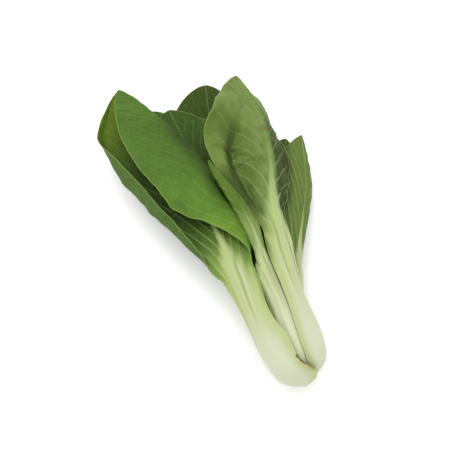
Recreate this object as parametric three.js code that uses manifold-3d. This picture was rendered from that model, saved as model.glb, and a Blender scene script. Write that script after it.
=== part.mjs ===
// A head of bok choy (pak choi) lying on its side: nine leaves wrapped round a short cut stem.
// Millimetres, +Z up. The head lies along +Y with its cut end at low Y and its leaf tips at
// high Y. The origin is on the surface under the middle of the head's bounding box.
//
// Every leaf is one closed body: a thick pale stalk that clasps the head at its foot and widens
// into a thin blade. Its middle sheet is swept along a route, and x runs across it from -1 (left
// margin) to 1 (right margin), seen from the leaf's back with the tip up.

import * as THREE from "three";
import Module from "manifold-3d";
import { mergeVertices } from "three/addons/utils/BufferGeometryUtils.js";

const wasm = await Module();
wasm.setup();

// ---- driving dimensions, in millimetres and degrees ----
const AXIS = { x: -1.5, z: 24 };   // the head's axis, parallel to Y
const BULB_RADIUS = 21;            // middle sheet of a stalk of ring 0 at the bulb's widest place
const RING_STEP = 1.6;             // each ring further in is this much nearer the axis
const FOOT_RADIUS = 7.8;           // where a stalk of ring 0 leaves the stem
const FOOT_STEP = 0.62;            // and how much nearer the axis each ring's foot is
const FOOT_RISE = 1.25;            // each ring's foot is this much further up the stem
const CLASP_FREE = [26, 58];       // along Y, where a stalk stops following the round bulb
const SHEET = 0.8;                 // thickness of a blade, and of a stalk's thin edges
const RIB_OUTSIDE = 0.7;           // share of a rib's height that stands out of the leaf's back
const FLAT_DEPTH = 0.6;            // how deep the resting flat is pressed into the lowest stalk
const CUT_FACE = { radius: 4.5, y: 1, rim: 0.5 };
const STEM_CONE = [[5, 3.5], [3.8, 6.0], [2.2, 9.0], [1.2, 12.0]];  // [radius, y] up the stem
const STEM_TIP_Y = 13;
const STEM_SIDES = 40;
const END_CROWDING = 0.45;         // stations stand closer together towards a leaf's two ends
const CROSS_STEPS = 96;            // steps in which a cross-section's curve is added up

const radians = THREE.MathUtils.degToRad;

function smooth(value, start, end) {
  return THREE.MathUtils.smoothstep(value, start, end);
}

// ---- the leaves, from the outermost ring inwards ----
// turn: where round the axis the stalk grows (0 = +X, 90 = up). face: where the blade's back
// looks, in the same angles. route: points of the midrib beyond the bulb. bladeFrom: share of the
// length where the blade begins. half: blade half-width each side. peak and blunt shape each
// side's outline, and pointed is added to blunt towards the tip. stalk, foot: stalk width free and
// at the bulb. flare: how much wider the stalk is where its blade is about to begin. clasp: how
// many degrees round the axis the foot reaches each side. hug: how many more at its very end.
// footAt: the foot's [radius, y], where it closes over the stem's end. folds: the sheet turns
// outwards by the angle over that width of x. A fold starts at x = from and moves to x = to while
// the length share runs through when, and later holds a third place with its two shares. fade
// names the shares of the length where the fold weakens and by how much.
const LEAVES = {
  leaf_1_top_left: {
    turn: 147, ring: -0.9, face: 92, bladeFrom: 0.34, footAt: [4.6, -1.4],
    route: [[-22, 55, 41], [-21, 90, 44], [-20, 120, 42], [-25, 175, 37], [-34, 222, 32], [-39.5, 264, 27]],
    half: { left: 49.5, right: 65 }, peak: { left: 1.35, right: 1.05 }, blunt: { left: 0.4, right: 0.72 },
    pointed: { left: 0.4, right: 0 }, stalk: 22.5, foot: 46, rib: 5, cup: 4, heel: 20,
    clasp: { left: 52, right: 44 }, hug: { left: 20, right: 52 }, flare: { left: 0, right: 3.3 },
    folds: {
      left: [{ from: 0.7, to: 0.68, width: 0.2, angle: 150, when: [0.33, 0.6], fade: [0.72, 0.95, 0.75] }],
      right: [{ from: 0.78, to: 0.215, width: 0.2, angle: 172, when: [0.3, 0.575], later: [0.19, 0.6, 0.8] }],
    },
    wave: { height: 0.9, length: 38, phase: 0.5 }, grid: [33, 11, 18],
  },
  leaf_2_underside: {
    turn: 275, ring: 1, face: 270, bladeFrom: 0.40,
    route: [[6, 60, 4.5], [7, 100, 4.5], [8, 150, 4], [14, 205, 3.5], [27, 251.5, 7]],
    half: { left: 32, right: 36 }, peak: { left: 1.3, right: 1.35 }, blunt: { left: 0.6, right: 0.55 },
    stalk: 19, foot: 33, rib: 5, cup: 8, floor: 0.8,
    wave: { height: 2, length: 50, phase: 2 }, grid: [27, 6, 6],
  },
  leaf_3_top_right: {
    turn: 34, ring: 2, face: 80, bladeFrom: 0.42,
    route: [[14, 58, 41], [21, 98, 43], [25.8, 124, 41], [39.4, 158, 38], [48, 196, 33], [48, 239, 27]],
    half: { left: 51, right: 23 }, peak: { left: 1.15, right: 1.12 }, blunt: { left: 0.75, right: 0.5 },
    stalk: 18, foot: 31, rib: 5, cup: 10, flare: { left: 3.8, right: 0 },
    folds: {
      left: [
        { from: 0, to: 0, width: 0.12, angle: 26 },
        { from: 0.14, to: 0.14, width: 0.4, angle: -76, fade: [0.75, 0.97, 0.8] },
        {
          from: 0.42, to: 0.56, width: 0.1, angle: 84,
          when: [0.42, 0.62], later: [0.2, 0.72, 0.92], fade: [0.8, 0.97, 0.8],
        },
        { from: 0.75, to: 0.7, width: 0.3, angle: -28 },
      ],
      right: [
        { from: 0.03, to: 0.03, width: 0.3, angle: -42 },
        { from: 0.75, to: 0.75, width: 0.25, angle: 25 },
        { from: 1, to: 0.05, width: 0.3, angle: -15, when: [0.6, 0.85] },
      ],
    },
    wave: { height: 1.5, length: 42, phase: 0 }, grid: [31, 16, 7],
  },
  leaf_4_left: {
    turn: 200, ring: 3.5, face: 264, bladeFrom: 0.40,
    route: [[-18.5, 60, 22.5], [-20, 95, 22], [-16, 140, 20], [-9, 185, 18], [-9, 238, 16]],
    half: { left: 37, right: 36 }, peak: { left: 1.3, right: 1.3 }, blunt: { left: 0.75, right: 0.6 },
    stalk: 16, foot: 30, rib: 5, cup: 14,
    wave: { height: 2.2, length: 46, phase: 1 }, grid: [27, 6, 6],
  },
  leaf_5_right: {
    turn: -14, ring: 4.7, face: 70, bladeFrom: 0.40,
    route: [[18.5, 60, 23], [32.5, 92, 22], [46.5, 115, 20], [62.2, 142, 14.6], [75, 176.5, 17.4]],
    half: { left: 33, right: 31 }, peak: { left: 1.15, right: 1.15 }, blunt: { left: 0.75, right: 0.75 },
    stalk: 14, foot: 24, rib: 3.8, cup: 10,
    folds: {
      left: [{ from: 0.1, to: 0.1, width: 0.5, angle: -10 }],
      right: [{ from: 0.06, to: 0.06, width: 0.3, angle: -160 }],
    },
    wave: { height: 1, length: 40, phase: 0 }, grid: [25, 6, 9],
  },
  leaf_6_middle: {
    turn: 92, ring: 4.4, face: 60, bladeFrom: 0.46,
    route: [[1, 52, 40], [1.1, 84, 45], [2.4, 112, 52.9], [0.4, 140, 53.5], [-4.6, 169, 53.5]],
    half: { left: 19, right: 9 }, peak: { left: 1.15, right: 0.7 }, blunt: { left: 0.5, right: 0.8 },
    stalk: 19, foot: 23, rib: 4, cup: 5, clasp: { left: 52, right: 44 },
    folds: {
      left: [{ from: 0.05, to: 0.05, width: 0.4, angle: -150 }],
      right: [{ from: 0.1, to: 0.1, width: 0.5, angle: -20 }],
    },
    wave: { height: 0.3, length: 40, phase: 0 }, grid: [25, 9, 6],
  },
  leaf_7_lower_left: {
    turn: 240, ring: 6.4, face: 277, bladeFrom: 0.42,
    route: [[-3.8, 60, 11.5], [-14, 95, 10.2], [-21, 140, 10.2], [-28, 190, 9], [-23, 246, 10]],
    half: { left: 34, right: 24 }, peak: { left: 1.3, right: 1.4 }, blunt: { left: 0.6, right: 0.6 },
    stalk: 12, foot: 20, rib: 4, cup: 4, floor: 0.6,
    wave: { height: 1.6, length: 44, phase: 3 }, grid: [25, 5, 5],
  },
  leaf_8_lower_right: {
    turn: 15, ring: 7.8, face: -100, bladeFrom: 0.45,
    route: [[9, 60, 16], [20, 90, 11.5], [36, 120, 9.3], [50, 155, 7.2], [65, 183, 7]],
    half: { left: 15, right: 24 }, peak: { left: 1.2, right: 1.2 }, blunt: { left: 0.65, right: 0.65 },
    stalk: 10, foot: 16, rib: 3.5, cup: 4, floor: 0.6,
    wave: { height: 1.4, length: 40, phase: 1 }, grid: [21, 5, 5],
  },
  leaf_9_heart: {
    turn: 160, ring: 8.5, face: 100, bladeFrom: 0.42,
    route: [[-4, 55, 30], [-5, 85, 32], [-4, 120, 32]],
    half: { left: 14, right: 14 }, peak: { left: 1.1, right: 1.1 }, blunt: { left: 0.7, right: 0.7 },
    stalk: 9, foot: 15, rib: 3, cup: 50,
    wave: { height: 0.8, length: 30, phase: 1 }, grid: [17, 4, 4],
  },
};
const STALK_WRAP = 45;             // how far a stalk's section curls inwards, each side
const CLASP_REACH = 52;            // how far round the axis a stalk's foot reaches, each side
const HEEL = 9;                    // a stalk comes to its full width within this length of its foot
const FLARE_AT = 92;               // how far along a leaf its stalk's flare is widest
const FLARE_REACH = 26;            // and how far from there it has mostly gone
const TIP_HALF_WIDTH = 1.2;

const LEAF_FINISH = { color: 0x55792f, roughness: 0.55, metalness: 0 };
const STEM_FINISH = { color: 0xe2dcc0, roughness: 0.7, metalness: 0 };

// The point at a distance and an angle round the head's axis, at y along it.
function atAxis(radius, angle, y) {
  return new THREE.Vector3(AXIS.x + radius * Math.cos(angle), y, AXIS.z + radius * Math.sin(angle));
}

// The first three route points follow the bulb: the foot, the flare and the widest place.
function bulbPoints(leaf) {
  const radius = BULB_RADIUS - RING_STEP * leaf.ring;
  const stations = [
    leaf.footAt ?? [FOOT_RADIUS - FOOT_STEP * leaf.ring, 2 + FOOT_RISE * leaf.ring],
    [0.8 * radius, 8 + 1.5 * leaf.ring],
    [radius, 24 + 0.8 * leaf.ring],
  ];
  return stations.map(([r, y]) => atAxis(r, radians(leaf.turn), y));
}

function routeCurve(leaf) {
  const upper = leaf.route.map(([x, y, z]) => new THREE.Vector3(x, y, z));
  const curve = new THREE.CatmullRomCurve3([...bulbPoints(leaf), ...upper], false, "catmullrom", 0.5);
  curve.arcLengthDivisions = 240;
  return curve;
}

// Half-width on one side at share t of the length: the stalk, wide at its foot and narrow at its
// start, runs into the blade's outline.
function halfWidth(leaf, t, length, side) {
  const along = t * length;
  const bell = Math.exp(-(((along - 22) / 26) ** 2));
  const free = 1 - smooth(t, leaf.bladeFrom, leaf.bladeFrom + 0.35 * (1 - leaf.bladeFrom));
  const heel = smooth(along, -(leaf.heel ?? HEEL), HEEL);
  const flare = (leaf.flare?.[side] ?? 0) * Math.exp(-(((along - FLARE_AT) / FLARE_REACH) ** 2));
  const stalk = (leaf.stalk / 2 + ((leaf.foot - leaf.stalk) / 2) * bell + flare) * heel * free;
  const q = THREE.MathUtils.clamp((t - leaf.bladeFrom) / (1 - leaf.bladeFrom), 0, 1);
  const blunt = leaf.blunt[side] + (leaf.pointed?.[side] ?? 0) * q;
  const blade = leaf.half[side] * Math.max(Math.sin(Math.PI * q ** leaf.peak[side]), 0) ** blunt;
  return Math.max(Math.cbrt(stalk ** 3 + blade ** 3), TIP_HALF_WIDTH);
}

// Where across the blade a fold starts at share t of the length.
function foldPlace(leaf, fold, t) {
  const [start, end] = fold.when ?? [leaf.bladeFrom - 0.02, leaf.bladeFrom + 0.3];
  const [later, laterStart, laterEnd] = fold.later ?? [fold.to, 0, 1];
  const place = fold.from + (fold.to - fold.from) * smooth(t, start, end);
  return place + (later - fold.to) * smooth(t, laterStart, laterEnd);
}

// The angle by which the section has turned outwards at x, in radians.
function sectionAngle(leaf, t, x, side) {
  const cup = STALK_WRAP + (leaf.cup - STALK_WRAP) * smooth(t, leaf.bladeFrom - 0.14, leaf.bladeFrom + 0.24);
  let angle = -cup * x;
  for (const fold of leaf.folds?.[side] ?? []) {
    const from = foldPlace(leaf, fold, t);
    let grown = smooth(t, leaf.bladeFrom - 0.04, leaf.bladeFrom + 0.1);
    if (fold.fade) grown *= 1 - fold.fade[2] * smooth(t, fold.fade[0], fold.fade[1]);
    angle += grown * fold.angle * smooth((x - from) / fold.width, 0, 1);
  }
  return radians(angle);
}

// One side's section as a curve of [across, outwards] from the midrib, sampled at the given x.
function sectionPoints(leaf, t, width, side, samples) {
  const curve = [[0, 0]];
  for (let i = 1; i <= CROSS_STEPS; i++) {
    const a = sectionAngle(leaf, t, (i - 1) / CROSS_STEPS, side);
    const b = sectionAngle(leaf, t, i / CROSS_STEPS, side);
    const half = width / CROSS_STEPS / 2;
    const [across, out] = curve[i - 1];
    curve.push([across + half * (Math.cos(a) + Math.cos(b)), out + half * (Math.sin(a) + Math.sin(b))]);
  }
  return samples.map((x) => {
    const k = Math.min(Math.floor(x * CROSS_STEPS), CROSS_STEPS - 1);
    const f = x * CROSS_STEPS - k;
    return [0, 1].map((axis) => curve[k][axis] * (1 - f) + curve[k + 1][axis] * f);
  });
}

// Rib height above the sheet at distance s from the midrib: full in the stalk, fading to the tip.
function ribHeight(leaf, t, length, s, narrowHalf) {
  const open = smooth(t, leaf.bladeFrom - 0.05, leaf.bladeFrom + 0.3);
  const taper = 0.275 * leaf.stalk * (1 - smooth(t, leaf.bladeFrom, 1)) + 0.5;
  const reach = Math.max(narrowHalf * (1 - open) + open * taper, 0.5);
  const foot = 0.62 + 0.38 * Math.exp(-(((t * length - 24) / 30) ** 2));
  const opening = 1 - 0.45 * smooth(t, leaf.bladeFrom - 0.05, leaf.bladeFrom + 0.2);
  const fading = 1 - 0.97 * smooth(t, leaf.bladeFrom + 0.08, 1);
  return leaf.rib * foot * opening * fading * Math.max(1 - (s / reach) ** 2, 0) ** 1.5;
}

// The middle sheet as rows of points from foot to tip, with the distance of each from the midrib.
function middleSheet(leaf) {
  const [stations, leftColumns, rightColumns] = leaf.grid;
  const curve = routeCurve(leaf);
  const length = curve.getLength();
  const columns = [];
  for (let j = -leftColumns; j <= rightColumns; j++) columns.push(j < 0 ? j / leftColumns : j / rightColumns);
  const rows = [];
  for (let i = 0; i < stations; i++) {
    const even = i / (stations - 1);
    const t = even - (END_CROWDING * Math.sin(2 * Math.PI * even)) / (2 * Math.PI);
    const centre = curve.getPointAt(t);
    const before = curve.getPointAt(Math.max(t - 0.004, 0));
    const ahead = curve.getPointAt(Math.min(t + 0.004, 1)).sub(before).normalize();
    const look = radians(leaf.turn + (leaf.face - leaf.turn) * smooth(t, 0.12, 0.5));
    const right = new THREE.Vector3(Math.sin(look), 0, -Math.cos(look));
    right.addScaledVector(ahead, -right.dot(ahead)).normalize();
    const out = new THREE.Vector3().crossVectors(right, ahead);
    const width = { left: halfWidth(leaf, t, length, "left"), right: halfWidth(leaf, t, length, "right") };
    const section = {
      left: sectionPoints(leaf, t, width.left, "left", columns.map(Math.abs)),
      right: sectionPoints(leaf, t, width.right, "right", columns.map(Math.abs)),
    };
    const narrowHalf = Math.min(width.left, width.right);
    const radius = Math.hypot(centre.x - AXIS.x, centre.z - AXIS.z);
    const angle = Math.atan2(centre.z - AXIS.z, centre.x - AXIS.x);
    const hug = Math.exp(-(((t * length) / 12) ** 2));
    const reachOn = (side) => radians((leaf.clasp?.[side] ?? CLASP_REACH) + (leaf.hug?.[side] ?? 0) * hug);
    const reach = { left: reachOn("left"), right: reachOn("right") };
    const freed = smooth(centre.y, ...CLASP_FREE);
    rows.push(columns.map((x, j) => {
      const side = x > 0 ? "right" : "left";
      const [across, outwards] = section[side][j];
      const swept = centre.clone().addScaledVector(out, outwards);
      swept.addScaledVector(right, across * Math.sign(x));
      const round = angle - Math.min(width[side] / Math.max(radius, 6), reach[side]) * x;
      const point = atAxis(radius, round, centre.y).lerp(swept, freed);
      return { point, t, x, along: t * length, s: Math.abs(x) * width[side], narrowHalf };
    }));
  }
  return { rows, length };
}

function sheetNormal(rows, i, j) {
  const last = { i: rows.length - 1, j: rows[0].length - 1 };
  const lengthwise = rows[Math.min(i + 1, last.i)][j].point.clone().sub(rows[Math.max(i - 1, 0)][j].point);
  const across = rows[i][Math.min(j + 1, last.j)].point.clone().sub(rows[i][Math.max(j - 1, 0)].point);
  return across.cross(lengthwise).normalize();
}

// Waves of the margin, growing with the cube of the distance from the midrib.
function addWaves(leaf, rows) {
  const { height, length, phase } = leaf.wave;
  const shifts = rows.map((row, i) => row.map(({ t, x, along }, j) => {
    const grown = smooth(t, leaf.bladeFrom + 0.05, leaf.bladeFrom + 0.3) * (1 - smooth(t, 0.93, 1));
    const turn = (2 * Math.PI * along) / length + phase + (x > 0 ? 0 : 1.7);
    return sheetNormal(rows, i, j).multiplyScalar(height * grown * Math.abs(x) ** 3 * Math.sin(turn));
  }));
  rows.forEach((row, i) => row.forEach(({ point }, j) => point.add(shifts[i][j])));
}

// A blade that would sink below its floor height lies along it instead, with a soft bend.
function layOnFloor(leaf, rows) {
  if (leaf.floor === undefined) return;
  const softness = 3;
  for (const { point } of rows.flat()) {
    const above = point.z - leaf.floor;
    point.z = leaf.floor + (above + Math.hypot(above, softness)) / 2;
  }
}

// Closes the sheet into a solid: the back and the front, both split along the same diagonals, the
// two margins, the foot's end and the tip.
function leafGeometry(leaf) {
  const { rows, length } = middleSheet(leaf);
  addWaves(leaf, rows);
  layOnFloor(leaf, rows);
  const n = rows.length;
  const m = rows[0].length;
  const faces = { back: [], front: [] };
  rows.forEach((row, i) => row.forEach(({ point, t, s, narrowHalf }, j) => {
    const normal = sheetNormal(rows, i, j);
    const rib = ribHeight(leaf, t, length, s, narrowHalf);
    faces.back.push(...point.clone().addScaledVector(normal, SHEET / 2 + rib * RIB_OUTSIDE));
    faces.front.push(...point.clone().addScaledVector(normal, -SHEET / 2 - rib * (1 - RIB_OUTSIDE)));
  }));
  const front = n * m;
  const index = [];
  const quad = (a, b, c, d) => index.push(a, b, c, a, c, d);
  for (let i = 0; i < n - 1; i++) {
    for (let j = 0; j < m - 1; j++) {
      const a = i * m + j;
      quad(a, a + 1, a + m + 1, a + m);
      quad(front + a, front + a + m, front + a + m + 1, front + a + 1);
    }
    quad(i * m, (i + 1) * m, front + (i + 1) * m, front + i * m);
    quad((i + 1) * m - 1, front + (i + 1) * m - 1, front + (i + 2) * m - 1, (i + 2) * m - 1);
  }
  for (let j = 0; j < m - 1; j++) {
    const tip = (n - 1) * m + j;
    quad(j, front + j, front + j + 1, j + 1);
    quad(tip, tip + 1, front + tip + 1, front + tip);
  }
  const geometry = new THREE.BufferGeometry();
  geometry.setAttribute("position", new THREE.Float32BufferAttribute([...faces.back, ...faces.front], 3));
  geometry.setIndex(index);
  return geometry;
}

// The short stem: a cut face, a small bevelled rim and a cone running up between the stalks.
function stemGeometry() {
  const { radius, y, rim } = CUT_FACE;
  const profile = [[0, y], [radius - rim, y], [radius, y + rim], ...STEM_CONE, [0, STEM_TIP_Y]];
  const geometry = new THREE.LatheGeometry(profile.map(([r, h]) => new THREE.Vector2(r, h)), STEM_SIDES);
  geometry.translate(AXIS.x, 0, AXIS.z);
  return geometry;
}

function toSolid(geometry) {
  const bare = geometry.clone();
  for (const name of ["normal", "uv"]) bare.deleteAttribute(name);
  const merged = mergeVertices(bare, 1e-4);
  return new wasm.Manifold(new wasm.Mesh({
    numProp: 3,
    vertProperties: new Float32Array(merged.attributes.position.array),
    triVerts: new Uint32Array(merged.index.array),
  }));
}

function toGeometry(solid) {
  const mesh = solid.getMesh();
  const geometry = new THREE.BufferGeometry();
  geometry.setAttribute("position", new THREE.Float32BufferAttribute(mesh.vertProperties, 3));
  geometry.setIndex(Array.from(mesh.triVerts));
  return geometry;
}

// Presses the resting flat into the lowest stalk: everything of it below the level is cut away.
function pressFlat(geometry, level) {
  const below = new THREE.BoxGeometry(400, 600, 40);
  below.translate(0, 100, level - 20);
  return toGeometry(toSolid(geometry).subtract(toSolid(below)));
}

function buildHead() {
  const geometries = { stem_base: stemGeometry() };
  for (const [name, leaf] of Object.entries(LEAVES)) geometries[name] = leafGeometry(leaf);
  geometries.leaf_2_underside.computeBoundingBox();
  const level = geometries.leaf_2_underside.boundingBox.min.z + FLAT_DEPTH;
  geometries.leaf_2_underside = pressFlat(geometries.leaf_2_underside, level);

  const head = new THREE.Group();
  for (const [name, geometry] of Object.entries(geometries)) {
    geometry.computeVertexNormals();
    const finish = name === "stem_base" ? STEM_FINISH : LEAF_FINISH;
    const mesh = new THREE.Mesh(geometry, new THREE.MeshStandardMaterial(finish));
    mesh.name = name;
    head.add(mesh);
  }
  const box = new THREE.Box3().setFromObject(head, true);
  const middle = box.getCenter(new THREE.Vector3());
  head.position.set(-middle.x, -middle.y, -box.min.z);
  return head;
}

export default buildHead();
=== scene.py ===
"""A head of bok choy (pak choi) lying on its side, dressed for rendering.

Each leaf is one closed surface: its middle sheet follows the same route, width and folds as the
solid that it stands for, on a much finer grid, and the veins, ridges and blisters are raised on it.
Lengths in the formulas are millimetres, and x runs across a leaf from -1 (left margin) to 1 (right
margin), seen from the leaf's back with the tip up.
"""
import math

import bpy
import numpy as np
from mathutils import Matrix, Vector


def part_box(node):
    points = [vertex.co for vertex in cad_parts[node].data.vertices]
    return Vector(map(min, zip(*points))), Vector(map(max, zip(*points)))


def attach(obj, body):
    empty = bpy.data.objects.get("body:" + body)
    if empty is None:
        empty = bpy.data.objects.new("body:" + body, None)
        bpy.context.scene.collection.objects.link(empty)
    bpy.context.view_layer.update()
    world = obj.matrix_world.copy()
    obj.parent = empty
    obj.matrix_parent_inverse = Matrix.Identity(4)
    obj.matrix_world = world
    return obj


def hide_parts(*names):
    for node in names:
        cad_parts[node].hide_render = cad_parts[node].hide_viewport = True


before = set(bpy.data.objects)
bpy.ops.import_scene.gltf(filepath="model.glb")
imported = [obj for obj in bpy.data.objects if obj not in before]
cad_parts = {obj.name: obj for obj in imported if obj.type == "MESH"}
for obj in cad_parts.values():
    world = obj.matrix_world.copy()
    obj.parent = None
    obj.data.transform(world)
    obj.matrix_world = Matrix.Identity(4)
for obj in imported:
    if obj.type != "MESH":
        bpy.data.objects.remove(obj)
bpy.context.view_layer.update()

MM = 0.001

# ---- driving dimensions, the same as the solids' ----
AXIS_X, AXIS_Z = -1.5, 24.0
BULB_RADIUS = 21.0
RING_STEP = 1.6
FOOT_RADIUS, FOOT_STEP, FOOT_RISE = 7.8, 0.62, 1.25
CLASP_FREE = (26, 58)
HUG_REACH = 12
TURNED_TO_FACE = (0.12, 0.5)
SHEET = 0.8
RIB_OUTSIDE = 0.7
STALK_WRAP = 45
HEEL = 9
BULGE_AT, BULGE_REACH = 22, 26
FLARE_AT, FLARE_REACH = 92, 26
TIP_HALF_WIDTH = 1.2
CUT_FACE_Y = 1
STEM_PROFILE = [(0, 1), (4, 1), (4.5, 1.5), (5, 3.5), (3.8, 6), (2.2, 9), (1.2, 12), (0, 13)]

# ---- how finely the sheets are worked out, and the relief that only this script gives them ----
ROUTE_STEPS = 960
CROSS_STEPS = 480
END_CROWDING = 0.45      # 0 would space a sheet's rows evenly, and 1 crowd them most at both ends
PUCKER_DEPTH = 0.77      # in heights of a vein
WRINKLE_DEPTH = 0.6
GROOVE_DEPTH = 0.5
GROOVE_WIDTH = 0.075     # in half-widths of the stalk
BLISTER_SIZE, SWELL_SIZE, RUFFLE_SIZE = 13, 48, 17
SCAR_SEED, WRINKLE_SEED, CUT_SEED = 61, 71, 91

# ---- the leaves, from the outermost ring inwards ----
# Lengths are millimetres, angles are degrees, and a pair is left and right. The solids' values:
#   turn, ring      where round the bulb the stalk stands (0 is +X, 90 is up), and how many rings in
#   foot_at         how far from the axis and how high its foot is
#   face            the way that the blade's back looks, measured as turn is
#   blade_from      the share of the route at which the blade starts
#   route           the midrib's points beyond the bulb
#   half, peak      the blade's half-widths, and where it reaches them: 1 is halfway, more is higher
#   blunt, pointed  the power of the blade's arch, less for a blunter one, and what the tip adds to it
#   stalk, foot     the stalk's width, and its width at the bulb
#   heel            how wide the stalk starts: more is wider
#   rib, cup        the rib's height, and how far each half of the blade turns in
#   clasp, hug      how far round the axis a stalk reaches at most, and how much more at its foot
#   flare           what each side of the petiole adds to the half-width
#   folds_left, folds_right  a fold's two places across the blade, a later third one and its width, in
#                   half-widths, the shares of the route between which it moves (when, later) and
#                   fades (fade, with how much), and the angle by which it turns the blade outwards
#   wave            height and wavelength of the margin's waves, and their phase in radians
#   floor           the height that a low blade lies along
# The values of this script alone:
#   grid            rows, and columns on the left and on the right
#   blister, swell, ruffle  heights of the small bumps, of the long ones and of the margin's
#   vein_height, vein_show  how high and how pale the side veins are
#   vein_spacing, vein_slope  the gap between two, and how closely they follow the midrib at first
#   rib_pale, rib_fade  how wide the midrib's pale band is, in stalk widths, and how much it fades
#   green_down      by what share of the route the green starts lower than on most leaves
#   grooves         where across the stalk its lengthwise grooves run, from -1 to 1
# USUAL holds what a leaf has where it gives nothing else.
USUAL = dict(
    heel=HEEL, clasp=(52, 52), hug=(0, 0), flare=(0, 0), pointed=(0, 0), folds_left=(), folds_right=(),
    floor=None, swell=0.45, ruffle=0.5, vein_height=0.26, vein_show=0.25, vein_spacing=18, vein_slope=3,
    rib_pale=0.07, rib_fade=0.65, green_down=0, grooves=())
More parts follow.
